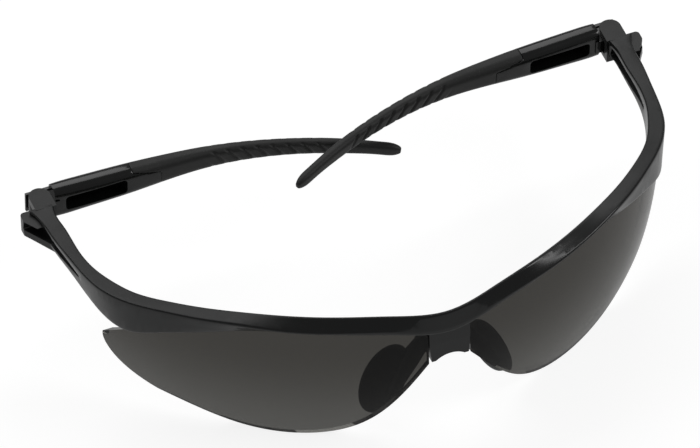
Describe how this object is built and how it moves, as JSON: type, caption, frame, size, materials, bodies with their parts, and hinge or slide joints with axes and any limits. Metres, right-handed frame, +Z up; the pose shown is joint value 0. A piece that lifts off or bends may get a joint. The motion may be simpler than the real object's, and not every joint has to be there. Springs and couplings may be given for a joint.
{
  "type": "safety glasses",
  "caption": "Half-frame wraparound safety glasses with tinted lenses, a soft nosepiece and folding temples with rubber grips.",
  "frame": {"origin": "middle plane, front of the seam between the brow frame and the nosepiece", "axes": "+X to the wearer's left, +Y back towards the ears, +Z up"},
  "size_m": [0.1448, 0.0768, 0.0367],
  "materials": {
    "frame_black": "black polycarbonate, satin on the flat brow top and glossy on the sides",
    "temple_black": "glossy black polycarbonate",
    "smoke_lens": "smoke-grey tinted polycarbonate, hard coated and polished",
    "soft_rubber": "matte black thermoplastic elastomer",
    "screw_steel": "plain steel"
  },
  "bodies": {
    "front": {"brow_frame": "frame_black", "lens_left": "smoke_lens", "lens_right": "smoke_lens", "nose_bridge": "frame_black", "nose_pad_left": "soft_rubber", "nose_pad_right": "soft_rubber", "hinge_screw_left": "screw_steel", "hinge_screw_right": "screw_steel"},
    "temple_left": {"temple_arm_left": "temple_black", "temple_grip_left": "soft_rubber"},
    "temple_right": {"temple_arm_right": "temple_black", "temple_grip_right": "soft_rubber"}
  },
  "joints": [
    {"name": "temple_fold_left", "type": "hinge", "parent": "front", "child": "temple_left", "pos_m": [0.0668, 0.073, 0], "axis": [0.0314, 0, 0.9995], "range_deg": [-94.2, 0]},
    {"name": "temple_fold_right", "type": "hinge", "parent": "front", "child": "temple_right", "pos_m": [-0.0668, 0.073, 0], "axis": [0.0314, 0, 0.9995], "range_deg": [0, 90]}
  ]
}
